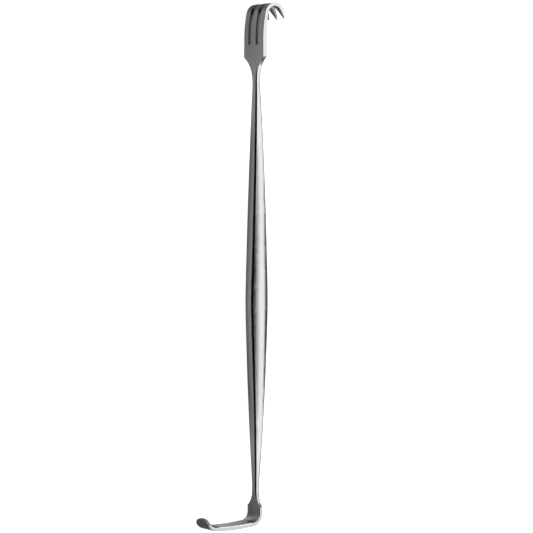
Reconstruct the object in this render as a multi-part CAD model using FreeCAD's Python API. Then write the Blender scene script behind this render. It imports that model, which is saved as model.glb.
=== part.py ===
import FreeCAD, Part
import math
import os

# A hand-held retractor, forged and finished as one piece of stainless steel.
# A rake of three hooked prongs is at one end and a right-angled blade at the other.
# Lengths are in millimetres and angles in degrees.
# The shaft runs along X, with x = 0 at the lowest point of the blade's underside.
# The blade points along +Y, the hooks curl towards -Y, and Z is the width of both ends.
overall_length = 160.0

# Handle: a bar of soft-cornered section that swells from each neck to a belly
belly_station = 68.5
belly_depth = 6.58
belly_width = 4.63
belly_corner = 0.8
belly_setback = 0.52
depth_fullness = 1.24
width_fullness = 2.4
face_bow_angle = 6.0
side_bow_angle = 18.0
rake_neck_depth = 1.8
rake_neck_width = 2.2
rake_neck_length = 2.5
blade_neck_depth = 1.62
blade_neck_width = 2.12
blade_neck_length = 3.3
neck_setback = 0.2
neck_corner = 0.45
handle_steps = 9

# Rake: a flat plate that flares out of the neck and is sawn into three prongs
plate_thickness = 1.52
plate_corner = 0.13
shoulder_width = 9.85
shoulder_drop = 16.5
rake_flare_angle = 57.0
rake_setback = -0.13
prong_width = 2.33
slot_width = 1.38
slot_depth = 12.6
deeper_slot_extra = 0.25
flare_steps = 6

# Hooks: each prong bends over in three tangent curves and thins to a point
lead_radius = 33.7
lead_angle = 12.1
crook_radius = 3.14
crook_angle = 129.3
point_radius = 11.5
point_angle = 17.6
crook_thickness = 1.1
point_length = 6.3
thinning_length = 4.0
point_thickness = 0.2
point_width = 0.24
point_splay = 0.16
corner_share = 0.3
bend_steps = 12
point_steps = 10

# Blade: a flat strip that bends square to the shaft, bows a little and lifts into a lip
blade_thickness = 1.18
blade_width = 6.35
blade_corner = 0.25
blade_shoulder = 6.17
blade_flare_angle = 52.0
heel_radius = 3.1
heel_angle = 83.7
bow_radius = 75.7
bow_angle = 10.5
lip_radius = 3.5
lip_angle = 80.0
lip_corner = 2.4
lip_steps = 6

across = FreeCAD.Vector(0, 0, 1)


def sine(angle):
    return math.sin(math.radians(angle))


def cosine(angle):
    return math.cos(math.radians(angle))


def left_of(heading):
    """Unit vector square to a heading, on its left, in the XY plane."""
    return FreeCAD.Vector(-sine(heading), cosine(heading), 0)


def advance(place, heading, radius, turn):
    """Place and heading after an arc; a positive turn goes from +X towards +Y."""
    pivot = place + left_of(heading) * math.copysign(radius, turn)
    end = pivot - left_of(heading + turn) * math.copysign(radius, turn)
    return end, heading + turn


def side(start, middle, end, bowed):
    """One side of a section: an arc where the side is bowed, and a line where it is flat."""
    if bowed:
        return Part.Arc(start, middle, end).toShape()
    return Part.LineSegment(start, end).toShape()


def section(place, heading, depth, width, corner, face_lean=0.0, side_lean=0.0):
    """Round-cornered outline square to a heading.

    The depth is in the XY plane and the width is along Z. The leans are the angles
    that the two broad faces and the two sides have turned through at a corner.
    """
    outward = left_of(heading)
    face_rise = math.tan(math.radians(face_lean / 2))
    side_rise = math.tan(math.radians(side_lean / 2))
    flat_depth = depth / 2 - corner
    flat_width = width / 2 - corner
    shared = 1 - face_rise * side_rise
    pivot_depth = (flat_depth - face_rise * flat_width) / shared
    pivot_width = (flat_width - side_rise * flat_depth) / shared

    def point(along_depth, along_width):
        return place + outward * along_depth + across * along_width

    def corner_point(angle):
        return pivot_depth + corner * cosine(angle), pivot_width + corner * sine(angle)

    face_end = corner_point(face_lean)
    corner_middle = corner_point((face_lean + 90 - side_lean) / 2)
    side_end = corner_point(90 - side_lean)
    quarters = ((1, 1), (-1, 1), (-1, -1), (1, -1))
    edges = []
    for index, (up, out) in enumerate(quarters):
        run = [face_end, corner_middle, side_end]
        if up != out:
            run.reverse()
        start, middle, end = [point(up * a, out * b) for a, b in run]
        edges.append(Part.Arc(start, middle, end).toShape())
        next_up, next_out = quarters[(index + 1) % 4]
        if up != next_up:
            far, halfway, lean = side_end, point(0, out * width / 2), side_lean
        else:
            far, halfway, lean = face_end, point(up * depth / 2, 0), face_lean
        edges.append(side(end, halfway, point(next_up * far[0], next_out * far[1]), lean > 0))
    return Part.Wire(edges)


def loft(sections):
    return Part.makeLoft(sections, True, False)


def on_shaft(x, setback=0.0):
    return FreeCAD.Vector(x, -setback, 0)


def flare_radius(neck_width, full_width, angle):
    """Radius of the hollow curve from a neck to a shoulder, ending at an angle to the shaft."""
    return (full_width - neck_width) / 2 / (1 - cosine(angle))


def between(start, end, share):
    return start + (end - start) * share


def flare(shoulder, towards_neck, neck, plate, angle, plate_setback=0.0):
    """Solid from a flat end's shoulder back to the neck.

    The neck and the plate are each a depth, a width and a corner.
    """
    radius = flare_radius(neck[1], plate[1], angle)
    sections = []
    for step in range(flare_steps + 1):
        swing = angle * step / flare_steps
        x = shoulder + towards_neck * radius * (sine(angle) - sine(swing))
        width = neck[1] + 2 * radius * (1 - cosine(swing))
        depth = between(neck[0], plate[0], step / flare_steps)
        corner = between(neck[2], plate[2], step / flare_steps)
        setback = between(neck_setback, plate_setback, step / flare_steps)
        sections.append(section(on_shaft(x, setback), 0, depth, width, corner))
    return loft(sections)


rake_shoulder = overall_length - shoulder_drop
rake_flare_run = flare_radius(rake_neck_width, shoulder_width, rake_flare_angle) * sine(rake_flare_angle)
blade_flare_run = flare_radius(blade_neck_width, blade_width, blade_flare_angle) * sine(blade_flare_angle)
rake_neck_end = rake_shoulder - rake_flare_run
blade_neck_end = blade_shoulder + blade_flare_run


def handle_half(neck_end, neck_start, neck_depth, neck_width):
    """Sections along one neck and up to, but not at, the belly."""
    sections = [section(on_shaft(neck_end, neck_setback), 0, neck_depth, neck_width, neck_corner)]
    for step in range(handle_steps):
        away = cosine(90 * step / handle_steps)
        x = between(belly_station, neck_start, away)
        depth = between(belly_depth, neck_depth, away ** depth_fullness)
        width = between(belly_width, neck_width, away ** width_fullness)
        swell = 1 - away ** width_fullness
        corner = between(neck_corner, belly_corner, swell)
        place = on_shaft(x, between(neck_setback, belly_setback, swell))
        sections.append(section(place, 0, depth, width, corner, face_bow_angle * swell, side_bow_angle * swell))
    return sections


def handle():
    blade_neck_start = blade_neck_end + blade_neck_length
    rake_neck_start = rake_neck_end - rake_neck_length
    blade_half = handle_half(blade_neck_end, blade_neck_start, blade_neck_depth, blade_neck_width)
    rake_half = handle_half(rake_neck_end, rake_neck_start, rake_neck_depth, rake_neck_width)
    middle = on_shaft(belly_station, belly_setback)
    belly = section(middle, 0, belly_depth, belly_width, belly_corner, face_bow_angle, side_bow_angle)
    return loft(blade_half + [belly] + rake_half[::-1])


def rounded_taper(from_tip, run):
    """Share of the full size at a distance from the tip: none at the tip, all of it after the run."""
    return 1 - max(0, 1 - from_tip / run) ** 2


def hook_rise():
    """Height of the hooks' top above the start of their bend."""
    place, heading = advance(on_shaft(0), 0, lead_radius, -lead_angle)
    top, heading = advance(place, heading, crook_radius, lead_angle - 90)
    return top.x + crook_thickness / 2


prong_root = overall_length - slot_depth
bend_start = overall_length - hook_rise()
prong_pitch = prong_width + slot_width
prong_span = 3 * prong_width + 2 * slot_width


def rake_plate():
    neck = (rake_neck_depth, rake_neck_width, neck_corner)
    plate = (plate_thickness, shoulder_width, plate_corner)
    flared = flare(rake_shoulder, -1, neck, plate, rake_flare_angle, rake_setback)
    low = section(on_shaft(rake_shoulder, rake_setback), 0, plate_thickness, shoulder_width, plate_corner)
    high = section(on_shaft(prong_root, rake_setback), 0, plate_thickness, prong_span, plate_corner)
    return flared.fuse(Part.makeLoft([low, high], True, True))


def deeper_slot():
    """The slot nearer the viewer was sawn a little further into the plate."""
    corner = FreeCAD.Vector(prong_root - deeper_slot_extra, -plate_thickness, prong_width / 2)
    return Part.makeBox(2 * deeper_slot_extra, 2 * plate_thickness, slot_width, corner)


def prong(position):
    """One prong, from the foot of the slots round to its point; position is -1, 0 or 1."""
    centre = position * prong_pitch
    bends = ((lead_radius, lead_angle), (crook_radius, crook_angle), (point_radius, point_angle))
    length = sum(radius * math.radians(turn) for radius, turn in bends)
    crook_middle = lead_radius * math.radians(lead_angle) + crook_radius * math.radians(90 - lead_angle)

    def prong_section(travel):
        place, heading, left = on_shaft(bend_start, rake_setback), 0, travel
        for radius, turn in bends:
            arc = min(left, radius * math.radians(turn))
            place, heading = advance(place, heading, radius, -math.degrees(arc / radius))
            left -= arc
        thinning = min(travel / crook_middle, 1)
        thickness = between(plate_thickness, crook_thickness, thinning)
        thickness = between(point_thickness, thickness, rounded_taper(length - travel, thinning_length))
        width = between(point_width, prong_width, rounded_taper(length - travel, point_length))
        corner = min(plate_corner, corner_share * min(thickness, width))
        place.z = centre + position * point_splay * travel / length
        return section(place, heading, thickness, width, corner)

    body = length - point_length
    travels = [body * step / bend_steps for step in range(bend_steps + 1)]
    travels += [body + point_length * sine(90 * step / point_steps) for step in range(1, point_steps + 1)]
    foot = FreeCAD.Vector(prong_root, -rake_setback, centre)
    straight = Part.Face(section(foot, 0, plate_thickness, prong_width, plate_corner))
    straight = straight.extrude(on_shaft(bend_start - prong_root))
    return straight.fuse(loft([prong_section(travel) for travel in travels]))


def heel_rise():
    """Height at which the heel's bend starts above the lowest point of the bowed underside."""
    place, heading = advance(on_shaft(0), 180, heel_radius, -heel_angle)
    lowest, heading = advance(place, heading, bow_radius, 90 - heading)
    return blade_thickness / 2 - lowest.x


def blade():
    """The flared plate, its square bend, the bowed strip and the lifted, round-cornered lip."""
    neck = (blade_neck_depth, blade_neck_width, neck_corner)
    plate = (blade_thickness, blade_width, blade_corner)
    solids = [flare(blade_shoulder, 1, neck, plate, blade_flare_angle)]
    rise = heel_rise()
    place, heading = on_shaft(blade_shoulder), 180
    face = Part.Face(section(place, heading, *plate))
    solids.append(face.extrude(on_shaft(rise - blade_shoulder)))
    place = on_shaft(rise)
    lip_taper = math.degrees(lip_corner / lip_radius)
    for radius, turn in ((heel_radius, heel_angle), (bow_radius, bow_angle), (lip_radius, lip_angle - lip_taper)):
        face = Part.Face(section(place, heading, *plate))
        pivot = place - left_of(heading) * radius
        solids.append(face.revolve(pivot, across, -turn))
        place, heading = advance(place, heading, radius, -turn)
    lip = []
    for step in range(lip_steps + 1):
        swing = 90 * step / lip_steps
        tip_place, tip_heading = advance(place, heading, lip_radius, -lip_taper * max(sine(swing), 1e-9))
        width = blade_width - 2 * lip_corner * (1 - cosine(swing))
        lip.append(section(tip_place, tip_heading, blade_thickness, width, blade_corner))
    solids.append(loft(lip))
    return solids[0].fuse(solids[1:])


def lay_down(shape):
    """Lay the instrument on its side, on the edges of the rake's shoulder and of the blade."""
    drop = (shoulder_width - blade_width) / 2
    pitch = math.degrees(math.atan2(drop, rake_shoulder))
    shape.rotate(on_shaft(0), FreeCAD.Vector(0, 1, 0), -pitch)
    box = shape.optimalBoundingBox(False, False)
    shape.translate(FreeCAD.Vector(-box.Center.x, -box.Center.y, -box.ZMin))
    return shape


def retractor():
    prongs = [prong(position) for position in (-1, 0, 1)]
    body = handle().fuse([rake_plate().cut(deeper_slot()), blade()] + prongs)
    return lay_down(body.removeSplitter())


shape = retractor()
print("solids", len(shape.Solids), "faces", len(shape.Faces), "valid", shape.isValid())
print("volume", round(shape.Volume, 1), "box", shape.BoundBox)
os.makedirs("parts", exist_ok=True)
shape.Solids[0].exportStep("parts/retractor.step")
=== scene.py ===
# %% [markdown]
# # A double-ended surgical retractor in satin stainless steel
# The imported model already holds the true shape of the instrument: a forged handle, a rake of three
# hooked prongs and a small right-angled blade. This notebook gives it its finish, lays it on a pale
# table and sets up the light and the camera. Everything is in metres, in the frame of the model: +X
# runs along the handle towards the rake, +Y is the way the blade points, and +Z is up.

import math

import bpy
from mathutils import Matrix, Vector

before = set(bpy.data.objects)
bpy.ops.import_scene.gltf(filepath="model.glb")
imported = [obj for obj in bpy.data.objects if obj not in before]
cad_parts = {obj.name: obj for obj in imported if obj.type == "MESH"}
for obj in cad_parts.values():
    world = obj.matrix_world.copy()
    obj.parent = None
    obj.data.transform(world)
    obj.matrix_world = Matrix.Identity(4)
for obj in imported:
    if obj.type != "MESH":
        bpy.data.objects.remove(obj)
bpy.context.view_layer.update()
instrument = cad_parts["retractor"]

# %% [markdown]
# ## The axis of the instrument
# The instrument rests on the edge of the rake and on the edge of the narrower blade, so its middle plane
# rises a little from blade to rake. The masks for the saw cuts and the camera both need that plane. It could
# be found again from the mesh each time, but it is the same for all, so it is written down once.

# %% The middle plane
lying_rise, lying_run = 1.75, 143.5
lying_slope = lying_rise / lying_run
axis_start = Vector((-0.08000613, -0.0062193, 0.00317476))
print("slope in degrees:", round(math.degrees(math.atan(lying_slope)), 2))

# %% [markdown]
# ## Helpers that build shader nodes
# A finish in Blender is a graph of small nodes. They could be laid out by hand in the shader editor, but
# a script can name every number and build the same graph again. Each helper adds one kind of node, joins
# what goes into it, and returns the socket that comes out.


# %% Helpers: groups, noise and ramps
def new_group(name, inputs, outputs):
    """An empty shader node group with named sockets."""
    group = bpy.data.node_groups.new(name, "ShaderNodeTree")
    for label, kind, value in inputs:
        socket = group.interface.new_socket(label, in_out="INPUT", socket_type=kind)
        socket.default_value = value
    for label, kind in outputs:
        group.interface.new_socket(label, in_out="OUTPUT", socket_type=kind)
    return group, group.nodes.new("NodeGroupInput"), group.nodes.new("NodeGroupOutput")


def noise(tree, vector, scale, detail, roughness=0.5):
    """A noise texture fed by a vector socket."""
    node = tree.nodes.new("ShaderNodeTexNoise")
    node.inputs["Scale"].default_value = scale
    node.inputs["Detail"].default_value = detail
    node.inputs["Roughness"].default_value = roughness
    tree.links.new(vector, node.inputs["Vector"])
    return node.outputs["Fac"]


def remap(tree, value, low, high, to_low=0.0, to_high=1.0):
    """Spread the part of a value between low and high over a new range."""
    node = tree.nodes.new("ShaderNodeMapRange")
    for label, number in (("From Min", low), ("From Max", high), ("To Min", to_low), ("To Max", to_high)):
        node.inputs[label].default_value = number
    tree.links.new(value, node.inputs["Value"])
    return node.outputs["Result"]


print("helpers:", [helper.__name__ for helper in (new_group, noise, remap)])

# %% [markdown]
# ## Arithmetic between sockets
# A mask says where something is true, from 0 for no to 1 for yes. Masks are limited by multiplying them,
# and joined by taking the larger. Image masks painted by hand could do the same, but arithmetic on the
# place and the direction of a face has no seams and stays sharp at any distance.


# %% Helpers: arithmetic on sockets
def math_node(tree, operation, *values):
    """One step of arithmetic; each value is a socket or a number."""
    node = tree.nodes.new("ShaderNodeMath")
    node.operation = operation
    for slot, value in zip(node.inputs, values):
        if isinstance(value, (int, float)):
            slot.default_value = value
        else:
            tree.links.new(value, slot)
    return node.outputs["Value"]


def vector_node(tree, operation, *values):
    """One step of vector arithmetic; each value is a socket or three numbers."""
    node = tree.nodes.new("ShaderNodeVectorMath")
    node.operation = operation
    for slot, value in zip(node.inputs, values):
        if isinstance(value, tuple):
            slot.default_value = value
        else:
            tree.links.new(value, slot)
    return node.outputs["Value" if operation in ("DOT_PRODUCT", "LENGTH") else "Vector"]


def product(tree, share, *limits):
    """A share multiplied by each of its limits."""
    for limit in limits:
        share = math_node(tree, "MULTIPLY", share, limit)
    return share


def largest(tree, share, *others):
    """The largest of several shares."""
    for other in others:
        share = math_node(tree, "MAXIMUM", share, other)
    return share


def split_axes(tree, vector):
    """The three parts of a vector, as sockets X, Y and Z."""
    node = tree.nodes.new("ShaderNodeSeparateXYZ")
    tree.links.new(vector, node.inputs["Vector"])
    return node.outputs


print("helpers:", [helper.__name__ for helper in (math_node, vector_node, product, largest, split_axes)])

# %% [markdown]
# ## A group for the grain of ground steel
# A belt leaves fine, short scratches along the handle. They can be painted, but noise stretched along
# the handle gives them at any distance, with no seams. The group puts out the height of the scratches
# and a slow, cloudy mask for places that the polishing wheel touched more or less.

# %% Node group: steel_grain
scratch_detail, scratch_mix = 3.0, 0.6
cloud_scale, cloud_detail = 140.0, 3.0
cloud_span = (0.3, 0.7)


def make_grain_group():
    """Scratches along the handle, and slow clouds."""
    group, start, end = new_group(
        "steel_grain",
        [("Along", "NodeSocketFloat", 90.0), ("Across", "NodeSocketFloat", 9000.0)],
        [("Scratches", "NodeSocketFloat"), ("Clouds", "NodeSocketFloat")],
    )
    place = group.nodes.new("ShaderNodeTexCoord").outputs["Object"]
    stretch = group.nodes.new("ShaderNodeCombineXYZ")
    for axis, label in (("X", "Along"), ("Y", "Across"), ("Z", "Across")):
        group.links.new(start.outputs[label], stretch.inputs[axis])
    stretched = vector_node(group, "MULTIPLY", place, stretch.outputs["Vector"])
    scratches = noise(group, stretched, 1.0, scratch_detail, scratch_mix)
    clouds = noise(group, place, cloud_scale, cloud_detail)
    group.links.new(scratches, end.inputs["Scratches"])
    group.links.new(remap(group, clouds, *cloud_span), end.inputs["Clouds"])
    return group


steel_grain = make_grain_group()
print("group:", steel_grain.name, [socket.name for socket in steel_grain.interface.items_tree])

# %% [markdown]
# ## Broad faces and narrow sides
# Many finishes change between the instrument's broad faces and its narrow sides, which look up and down
# as it lies. Faces could be picked by hand and given a material each, but then the change is a hard line.
# A ramp on the direction that each face looks in blends them as a wheel does.

# %% Helpers: which way a face looks
along_handle = (1.0, 0.0, 0.0)
up_or_down = (0.0, 0.0, 1.0)
side_ramp = (0.3, 0.7)


def facing(tree, normal, direction):
    """How squarely a face looks along a direction, from -1 to 1."""
    return vector_node(tree, "DOT_PRODUCT", normal, direction)


def side_share(tree, normal, on_faces=0.0, on_sides=1.0):
    """One value on the broad faces and another on the narrow sides, with a ramp between them."""
    square = math_node(tree, "ABSOLUTE", facing(tree, normal, up_or_down))
    return remap(tree, square, *side_ramp, on_faces, on_sides)


def above_middle(tree, at):
    """How far a point lies above the middle plane of the instrument."""
    level = math_node(tree, "MULTIPLY_ADD", at["X"], lying_slope, axis_start.z - lying_slope * axis_start.x)
    return math_node(tree, "SUBTRACT", at["Z"], level)


print("sides begin at a slant of", round(math.degrees(math.asin(side_ramp[0]))), "degrees")

# %% [markdown]
# ## The walls of the saw cuts
# Two saw cuts part the rake into prongs. A polishing wheel can't get into them, so their walls stay dull:
# rougher, and with a darker tone that is painted shade. They could be a material of their own, but a mask
# by place needs no list of faces: a wall looks up or down, and lies close to the middle of the nearer cut.
# Along their front edge the walls get more painted shade, and so they do all over where the prongs bend,
# until it grows lighter where they turn up to the light again at the crest.

# %% Masks: slot walls and their shade
slot_middle = 0.001855
slot_reach = 0.00085
slot_foot = 0.06715
slot_front = (-0.0063, -0.0058)
slot_bend = (0.0750, 0.0770)
points_start = (-0.0104, -0.0089)
lean_start = 0.0699
lean_radius = 0.0337
deep_shade_span = (0.0725, 0.0775)
straight_shade = 0.55
crest_light_span = (0.0778, 0.0790)
crest_light_share = 0.15


def slot_walls(tree, at, normal):
    """One on the walls of the two slots, and nothing on the prongs' faces or their points."""
    from_axis = math_node(tree, "ABSOLUTE", above_middle(tree, at))
    from_slot = math_node(tree, "ABSOLUTE", math_node(tree, "SUBTRACT", from_axis, slot_middle))
    inside = math_node(tree, "LESS_THAN", from_slot, slot_reach)
    above_foot = math_node(tree, "GREATER_THAN", at["X"], slot_foot)
    before_points = remap(tree, at["Y"], *points_start)
    return product(tree, inside, above_foot, before_points, side_share(tree, normal))


def front_edge(tree, at):
    """One along the front edge of the slots' walls, and all across them where the prongs bend over."""
    past = math_node(tree, "MAXIMUM", math_node(tree, "SUBTRACT", at["X"], lean_start), 0.0)
    depth = math_node(tree, "MULTIPLY_ADD", product(tree, past, past), 0.5 / lean_radius, at["Y"])
    return largest(tree, remap(tree, depth, *slot_front), remap(tree, at["X"], *slot_bend))


def slot_shade(tree, at):
    """How much painted shade the front edge of the walls gets, from the foot of the slots to the crest."""
    deep = largest(tree, remap(tree, at["X"], *deep_shade_span), straight_shade)
    crest = remap(tree, at["X"], *crest_light_span, 1.0, crest_light_share)
    return product(tree, deep, crest, front_edge(tree, at))


print("slot walls lie up to", round(1000 * (slot_middle + slot_reach), 2), "mm from the middle plane")

# %% [markdown]
# ## The crest and the inner sides of the hooks
# Where the hooks turn over, their backs look at the dark side of the room, and the upper sides of the lower
# hooks lie in the shade of the hook above. Both could be left to the light alone. Painted shade from a mask
# is used as well, because small forms like these need a clear edge to be read: a darker tone over the crest,
# and the rougher, darker dull tone on the hooks' sides.

# %% Masks: crest and hook sides
crest_shade_span = (0.0769, 0.0784)
crest_shade_share = 0.55
top_prong_foot = 0.0014
hook_side_share = 0.6


def crest_shade(tree, at, normal):
    """A share of painted shade on the broad faces over the crest of the hooks."""
    over = remap(tree, at["X"], *crest_shade_span, 0.0, crest_shade_share)
    return product(tree, side_share(tree, normal, 1.0, 0.0), over)


def hook_sides(tree, at, normal):
    """A share of rougher steel and painted shade on the upper sides of the hooks that lie below the top one.
    """
    below = math_node(tree, "LESS_THAN", above_middle(tree, at), top_prong_foot)
    on_rake = math_node(tree, "GREATER_THAN", at["X"], slot_foot)
    on_points = remap(tree, at["Y"], *points_start, 1.0, 0.0)
    share = remap(tree, facing(tree, normal, up_or_down), *side_ramp, 0.0, hook_side_share)
    return product(tree, share, below, on_rake, on_points)


# %% [markdown]
# ## The long corners of the handle
# The front face of the handle meets its narrow sides in two long round corners, which mirror a thin strip
# of the dark room. A black card in the room would draw the same strips, but from one side only, so a mask
# paints them as shade in the tone. Twice the product of two parts of the direction that a face looks in is
# the sine of twice its turn. It is largest half way round a corner, so a ramp on it finds the corners
# wherever the handle swells.

# %% Mask: long corners
upper_corner_ramp, upper_corner_share = (0.36, 0.72), 0.75
lower_corner_ramp, lower_corner_share = (-0.1, -0.4), 0.5
corner_start = (-0.074, -0.068)
corner_end = (0.056, 0.062)


def painted_corner_shade(tree, at, normal):
    """A share of painted shade on the round corners on both sides of the handle's front face."""
    turned = split_axes(tree, normal)
    double_sine = product(tree, turned["Y"], turned["Z"], 2.0)
    upper = remap(tree, double_sine, *upper_corner_ramp, 0.0, upper_corner_share)
    lower = remap(tree, double_sine, *lower_corner_ramp, 0.0, lower_corner_share)
    front = math_node(tree, "GREATER_THAN", turned["Y"], 0.0)
    past_start = remap(tree, at["X"], *corner_start)
    before_end = remap(tree, at["X"], *corner_end, 1.0, 0.0)
    return product(tree, largest(tree, upper, lower), front, past_start, before_end)


print("corner mask length in mm:", round(1000 * (corner_end[1] - corner_start[0]), 1))

# %% [markdown]
# ## Three tight bends
# The throat of the hooks, the heel of the blade and the hollow of its lip are too tight for the wheel, and
# stay dull; the shade that lies in them is painted as a darker tone. They could be painted on the mesh, but a
# bend is easy to find: its faces look towards its middle and lie close to it. The throat and the lip are as
# dark all across, so they are measured in the side view alone, with a width weight of 0. The heel is darkest
# at its upper side, so its weight is more.

# %% Mask: throat, heel and lip hollow
bend_ramp = (0.1, 0.5)
throat = dict(middle=(0.0763, -0.0099, 0.0), width_weight=0.0, near=0.0045, far=0.0075, share=0.4)
heel = dict(middle=(-0.0776, -0.0036, 0.0022), width_weight=0.35, near=0.0012, far=0.0019, share=0.75)
lip_hollow = dict(middle=(-0.07572, 0.01014, 0.0), width_weight=0.0, near=0.003, far=0.0036, share=0.9)


def tight_bend(tree, place, normal, middle, width_weight, near, far, share):
    """A share of dull steel and painted shade on the faces that look towards the middle of a bend and lie
    close to it.
    """
    flat_place = vector_node(tree, "MULTIPLY", place, (1.0, 1.0, width_weight))
    inward = vector_node(tree, "SUBTRACT", middle, flat_place)
    close = remap(tree, vector_node(tree, "LENGTH", inward), near, far, share, 0.0)
    turned = facing(tree, normal, vector_node(tree, "NORMALIZE", inward))
    return product(tree, remap(tree, turned, *bend_ramp), close)


print("bends reach in mm:", [round(1000 * bend["far"], 1) for bend in (throat, heel, lip_hollow)])

# %% [markdown]
# ## The blade and its lip
# The inner face of the blade is flat and open, so it is polished: smoother than the rest, with a brighter
# tone that is painted sheen. The lifted lip mirrors the dim room, and so does the handle's end at the blade,
# a little; that dimness is painted shade in their tone. A second material would do for the polished face,
# but its edge would be hard, so all three are masks.

# %% Masks: polished blade, dim lip and dim end
blade_top = -0.07
blade_ramp = (0.2, 0.8)
polish_start = (-0.0057, -0.0048)
polish_end = (0.0095, 0.0105)
lip_shade_span, lip_shade_share = (0.0105, 0.0125), 0.5
dim_end_span, dim_end_share = (-0.07, -0.06), 0.2


def polish_and_sheen_blade(tree, at, normal):
    """One on the blade's face that looks along the handle, between heel and lip: polish and painted sheen."""
    square = remap(tree, facing(tree, normal, along_handle), *blade_ramp)
    on_blade = math_node(tree, "LESS_THAN", at["X"], blade_top)
    past_heel = remap(tree, at["Y"], *polish_start)
    before_lip = remap(tree, at["Y"], *polish_end, 1.0, 0.0)
    return product(tree, square, on_blade, past_heel, before_lip)


def lip_shade(tree, at, normal):
    """A share of painted shade on the lip's back and hollow, and nothing on its narrow sides."""
    lifted = remap(tree, at["Y"], *lip_shade_span, 0.0, lip_shade_share)
    return product(tree, side_share(tree, normal, 1.0, 0.0), lifted)


print("polished length of the blade in mm:", round(1000 * (polish_end[0] - polish_start[1]), 1))

# %% [markdown]
# ## A group that gathers the worked places and the painted shade
# The masks come together in one node group with three outputs: where the steel is dull and darker by
# painted shade, where it is in painted shade, and where it is polished and brighter by painted sheen.
# They could sit loose in the material, but a group keeps the material short, and the bends can be made
# lighter or darker with one input.


# %% Node group: worked_and_shaded_places
def make_places_group():
    """Shares of dull, shaded and polished steel; the shade is painted, and so is part of the other two tones.
    """
    group, start, end = new_group(
        "worked_and_shaded_places",
        [("Bend Shade", "NodeSocketFloat", 1.0)],
        [("Dull And Shade", "NodeSocketFloat"), ("Shade", "NodeSocketFloat"), ("Polish And Sheen", "NodeSocketFloat")],
    )
    coordinates = group.nodes.new("ShaderNodeTexCoord").outputs
    place, normal = coordinates["Object"], coordinates["Normal"]
    at = split_axes(group, place)
    walls = slot_walls(group, at, normal)
    bends = largest(group, *(tight_bend(group, place, normal, **bend) for bend in (throat, heel, lip_hollow)))
    bends = product(group, bends, start.outputs["Bend Shade"])
    dark_walls = product(group, walls, slot_shade(group, at))
    # Painted shade: a dimmer tone on the handle's end at the blade.
    dim_end = remap(group, at["X"], *dim_end_span, dim_end_share, 0.0)
    shades = (crest_shade(group, at, normal), bends, dim_end, lip_shade(group, at, normal))
    shade = largest(group, dark_walls, *shades, painted_corner_shade(group, at, normal))
    reached = math_node(group, "SUBTRACT", 1.0, bends)
    polished = product(group, polish_and_sheen_blade(group, at, normal), reached)
    group.links.new(largest(group, walls, hook_sides(group, at, normal), bends), end.inputs["Dull And Shade"])
    group.links.new(shade, end.inputs["Shade"])
    group.links.new(polished, end.inputs["Polish And Sheen"])
    return group


worked_and_shaded_places = make_places_group()
print("group:", worked_and_shaded_places.name, "with", len(worked_and_shaded_places.nodes), "nodes")

# %% [markdown]
# ## Satin stainless steel
# Stainless steel shows almost no colour of its own: what is seen is the room, blurred by the grain. So each
# finish is a grey tone and a roughness. The satin of the handle is the main one, and dull, shaded and
# polished steel are blended into it. The darker dull and shaded tones are painted shade, and the bright
# polished tone is partly painted sheen. They could be four materials, but on the real instrument one runs
# into the next.

# %% Tones and roughness
steel_tone = (0.27, 0.27, 0.275, 1.0)
dull_shade_tone = (0.09, 0.09, 0.09, 1.0)
shaded_tone = (0.01, 0.01, 0.01, 1.0)
polish_and_sheen_tone = (0.85, 0.85, 0.85, 1.0)
rim_tone = (0.6, 0.6, 0.6, 1.0)
satin_roughness = (0.17, 0.23)
dull_roughness = 0.5
polished_roughness = 0.12
scratch_depth = 0.000004
scratch_strength = 0.15


def blend(tree, share, first, second):
    """Mix of two colours; the first is a socket or a colour."""
    node = tree.nodes.new("ShaderNodeMix")
    node.data_type = "RGBA"
    if isinstance(first, tuple):
        node.inputs["A"].default_value = first
    else:
        tree.links.new(first, node.inputs["A"])
    node.inputs["B"].default_value = second
    tree.links.new(share, node.inputs["Factor"])
    return node.outputs["Result"]


mean_roughness = sum(satin_roughness) / 2
print("mean roughness of the satin:", round(mean_roughness, 3))

# %% [markdown]
# ## The steel's material
# The material is a plain metal whose roughness wanders slightly with the clouds, with a shallow bump from
# the scratches. The masks then blend its tone and its roughness. An image of steel would be quicker, but
# it would bring its own reflections with it.


# %% Material: satin_steel
def add_group(tree, group):
    """A node that places a group in a material."""
    node = tree.nodes.new("ShaderNodeGroup")
    node.node_tree = group
    return node.outputs


def make_satin_steel():
    """Satin metal with dull, shaded and polished places."""
    material = bpy.data.materials.new("satin_steel")
    material.use_nodes = True
    tree = material.node_tree
    shader = tree.nodes["Principled BSDF"]
    shader.inputs["Metallic"].default_value = 1.0
    shader.inputs["Specular Tint"].default_value = rim_tone
    grain, places = add_group(tree, steel_grain), add_group(tree, worked_and_shaded_places)
    # The dull and shaded tones paint shade; the polished tone paints sheen as well as polish.
    tone = blend(tree, places["Dull And Shade"], steel_tone, dull_shade_tone)
    tone = blend(tree, places["Shade"], tone, shaded_tone)
    tone = blend(tree, places["Polish And Sheen"], tone, polish_and_sheen_tone)
    tree.links.new(tone, shader.inputs["Base Color"])
    roughness = remap(tree, grain["Clouds"], 0.0, 1.0, *satin_roughness)
    for label, goal in (("Dull And Shade", dull_roughness), ("Polish And Sheen", polished_roughness)):
        roughness = math_node(tree, "MULTIPLY_ADD", places[label], goal - mean_roughness, roughness)
    tree.links.new(roughness, shader.inputs["Roughness"])
    bump = tree.nodes.new("ShaderNodeBump")
    bump.inputs["Strength"].default_value = scratch_strength
    bump.inputs["Distance"].default_value = scratch_depth
    tree.links.new(grain["Scratches"], bump.inputs["Height"])
    tree.links.new(bump.outputs["Normal"], shader.inputs["Normal"])
    return material


satin_steel = make_satin_steel()
instrument.data.materials.clear()
instrument.data.materials.append(satin_steel)
print("material:", satin_steel.name)

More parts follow.
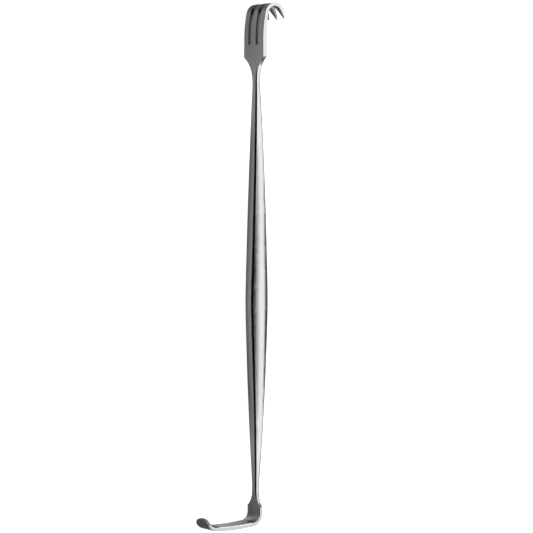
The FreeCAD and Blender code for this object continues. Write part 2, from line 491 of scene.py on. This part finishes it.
# %% [markdown]
# ## The white that the steel mirrors
# The instrument lies on a pale table, and its lower sides mirror it. An evenly white table would fill those
# sides with one flat tone. So the table glows white for the rays that the steel mirrors, unevenly by place,
# which paints reflections and shadows into the steel: the white is strongest close to the instrument and
# fades to the sides and towards both ends, with painted shadow under the middle of the handle and beside
# the rake. The spans are set so that the tones along the handle match those in the photograph.

# %% Mirrored white
white_to_steel, white_beyond = 0.575, 0.15
sheet_side = (0.015, 0.05)
blade_end_span, blade_end_share = (-0.083, -0.055), 0.32
rake_end_span, rake_end_share = (0.05, 0.08), 0.745
handle_middle = -0.005
handle_reach, under_handle_share = (0.030, 0.052), 0.15
hook_side_light = (-0.013, -0.010)
blade_side_light = (-0.0045, 0.0008)
beside_rake_span, beside_rake_share = (-0.003, 0.003), 0.2
rake_foot_span = (0.055, 0.065)


def painted_mirror_white(tree, at):
    """How white the table looks in the steel at each of its points: a painted reflection with painted shadow.
    """
    white = remap(tree, math_node(tree, "ABSOLUTE", at["Y"]), *sheet_side, white_to_steel, white_beyond)
    blade_end = remap(tree, at["X"], *blade_end_span, blade_end_share, 1.0)
    rake_end = remap(tree, at["X"], *rake_end_span, 1.0, rake_end_share)
    # Painted shadow beside the rake, in the white that the steel mirrors.
    beside_rake = remap(tree, at["Y"], *beside_rake_span, 0.0, beside_rake_share)
    beside_rake = product(tree, remap(tree, at["X"], *rake_foot_span), beside_rake)
    rake_end = product(tree, rake_end, math_node(tree, "SUBTRACT", 1.0, beside_rake))
    # Painted shadow under the middle of the handle, in the white that the steel mirrors.
    from_middle = math_node(tree, "ABSOLUTE", math_node(tree, "SUBTRACT", at["X"], handle_middle))
    past_belly = remap(tree, from_middle, *handle_reach, under_handle_share, 1.0)
    blade_side = remap(tree, at["Y"], *blade_side_light)
    hook_side = remap(tree, at["Y"], *hook_side_light, 1.0, 0.0)
    return product(tree, white, blade_end, rake_end, largest(tree, past_belly, blade_side, hook_side))


print("shaded length under the handle in mm:", round(2000 * handle_reach[0]))

# %% [markdown]
# ## The table
# The table is a plain pale surface that takes the soft shadow. A brighter lamp would turn it white, but
# would also burn out the steel. So it adds a little white of its own, even for the camera and uneven for
# reflections. It isn't part of the instrument.

# %% Table top
table_tone = (0.4, 0.4, 0.4, 1.0)
white_to_camera = 0.94
table_half = 4.0


def make_white_table():
    """Matt paper that looks white to the camera, and white by place to the steel: a painted reflection."""
    material = bpy.data.materials.new("white_table")
    material.use_nodes = True
    tree = material.node_tree
    tree.nodes.clear()
    output = tree.nodes.new("ShaderNodeOutputMaterial")
    matt = tree.nodes.new("ShaderNodeBsdfDiffuse")
    matt.inputs["Color"].default_value = table_tone
    glow = tree.nodes.new("ShaderNodeEmission")
    path = tree.nodes.new("ShaderNodeLightPath").outputs
    at = split_axes(tree, tree.nodes.new("ShaderNodeTexCoord").outputs["Object"])
    mirrored = largest(tree, path["Is Glossy Ray"], path["Is Transmission Ray"])
    mirrored = product(tree, mirrored, painted_mirror_white(tree, at))
    strength = math_node(tree, "MULTIPLY_ADD", path["Is Camera Ray"], white_to_camera, mirrored)
    tree.links.new(strength, glow.inputs["Strength"])
    both = tree.nodes.new("ShaderNodeAddShader")
    tree.links.new(matt.outputs["BSDF"], both.inputs[0])
    tree.links.new(glow.outputs["Emission"], both.inputs[1])
    tree.links.new(both.outputs["Shader"], output.inputs["Surface"])
    return material


def make_table():
    """One square face under the instrument."""
    corners = [(-table_half, -table_half, 0), (table_half, -table_half, 0)]
    corners += [(table_half, table_half, 0), (-table_half, table_half, 0)]
    mesh = bpy.data.meshes.new("table_top")
    mesh.from_pydata(corners, [], [(0, 1, 2, 3)])
    mesh.materials.append(make_white_table())
    table = bpy.data.objects.new("table_top", mesh)
    bpy.context.scene.collection.objects.link(table)
    return table


table_top = make_table()
print("stage:", table_top.name, "with a side of", 2 * table_half, "m")

# %% [markdown]
# ## Light
# Steel is drawn by what it mirrors, so the lamps are large and soft and stand where a face should be
# light. The key lamp is on the side of the hooks, and the narrow sides that look up mirror it and go
# almost white. A paler lamp hangs nearly overhead. Three pairs of smaller lamps go round both ends, from the
# key lamp's side to the far side, so that faces which look away from the key have something to mirror. The
# rest of the room is dim, which leaves a dark band along the handle; painted shade on the handle's corners
# makes it darker. A photographed room could light the steel too, but its lights couldn't be placed so
# exactly.

# %% Lamps and room
lamp_distance = 1.1
lamp_length = 2.8
long_lamps = (
    # name, span of angles from overhead towards -Y, level
    ("key_lamp", (25, 57), 3.1),
    ("top_lamp", (12.5, 25), 1.5),
)
lamp_pairs = (
    # name, tilt, turn, size, level
    ("end_lamp", 70, 52, (0.6, 0.6), 1.0),
    ("wall_lamp", 68, 90, (0.9, 0.7), 0.7),
    ("wing_lamp", 42, 122, (0.6, 0.6), 1.2),
)
room_tone = (0.01, 0.01, 0.01, 1.0)


def make_lamp(name, tilt, turn, size, level):
    """A lamp of an even brightness aimed at the origin, tilted towards -Y and turned about the vertical."""
    data = bpy.data.lights.new(name, "AREA")
    data.shape = "RECTANGLE"
    data.size, data.size_y = size
    data.energy = level * math.pi * size[0] * size[1]
    lamp = bpy.data.objects.new(name, data)
    bpy.context.scene.collection.objects.link(lamp)
    aim = Matrix.Rotation(turn, 4, "Z") @ Matrix.Rotation(tilt, 4, "X")
    lamp.location = aim @ Vector((0, 0, lamp_distance))
    lamp.rotation_euler = (tilt, 0, turn)
    return lamp


lamps = []
for name, span, level in long_lamps:
    width = 2 * lamp_distance * math.tan(math.radians(span[1] - span[0]) / 2)
    lamps.append(make_lamp(name, math.radians(sum(span) / 2), 0.0, (lamp_length, width), level))
for name, tilt, turn, size, level in lamp_pairs:
    for end, side in (("rake", 1), ("blade", -1)):
        turned = side * math.radians(turn)
        lamps.append(make_lamp(f"{end}_{name}", math.radians(tilt), turned, size, level))
room = bpy.data.worlds.new("dim_room")
bpy.context.scene.world = room
room.use_nodes = True
room.node_tree.nodes["Background"].inputs["Color"].default_value = room_tone
bpy.context.scene.view_settings.view_transform = "Standard"
print("lamps:", {lamp.name: [round(x, 2) for x in lamp.location] for lamp in lamps})

# %% [markdown]
# ## Camera
# The photograph shows the instrument upright, seen from a little above its level and from the side of the
# blade and of one narrow side. The model lies on its side, so the same view is a camera above the table,
# turned so that the rake is at the top. It could be aimed with a Track To constraint, but the angles of
# the photograph are known about the instrument's own axis. So the camera is placed about that axis, and
# then tipped by the slight slope at which it lies. The focal length follows from how many pixels of the
# photograph a metre takes up at the camera's distance.

# %% Camera at the photograph's view
view_turn = math.radians(53.686)
view_rise = math.radians(2.159)
view_roll = math.radians(0.111)
view_distance = 0.6665
aim_along = 0.07981
image_side = 533
pixels_per_metre = 3269.6
focal_pixels = pixels_per_metre * view_distance
target_pixel = (255.36, 266.01)
sensor_width = 36.0


def make_camera():
    """A camera that looks at the middle of the axis from the photograph's direction and distance."""
    level = math.cos(view_rise)
    towards = Vector((math.sin(view_rise), math.cos(view_turn) * level, math.sin(view_turn) * level))
    right = Vector((0, -math.sin(view_turn), math.cos(view_turn)))
    upward = towards.cross(right)
    camera_x = right * math.cos(view_roll) + upward * math.sin(view_roll)
    camera_y = towards.cross(camera_x)
    turned = Matrix((camera_x, camera_y, towards)).transposed()
    slope = Matrix.Rotation(-math.atan(lying_slope), 3, "Y")
    place = slope @ (Vector((aim_along, 0, 0)) + towards * view_distance) + axis_start
    data = bpy.data.cameras.new("photo_view")
    data.sensor_width = sensor_width
    data.lens = sensor_width * focal_pixels / image_side
    data.shift_x = (image_side / 2 - target_pixel[0]) / image_side
    data.shift_y = (target_pixel[1] - image_side / 2) / image_side
    camera = bpy.data.objects.new("photo_view", data)
    bpy.context.scene.collection.objects.link(camera)
    camera.matrix_world = Matrix.Translation(place) @ (slope @ turned).to_4x4()
    bpy.context.scene.camera = camera
    return camera


camera = make_camera()
print("lens", round(camera.data.lens, 1), "at", [round(x, 3) for x in camera.matrix_world.translation])
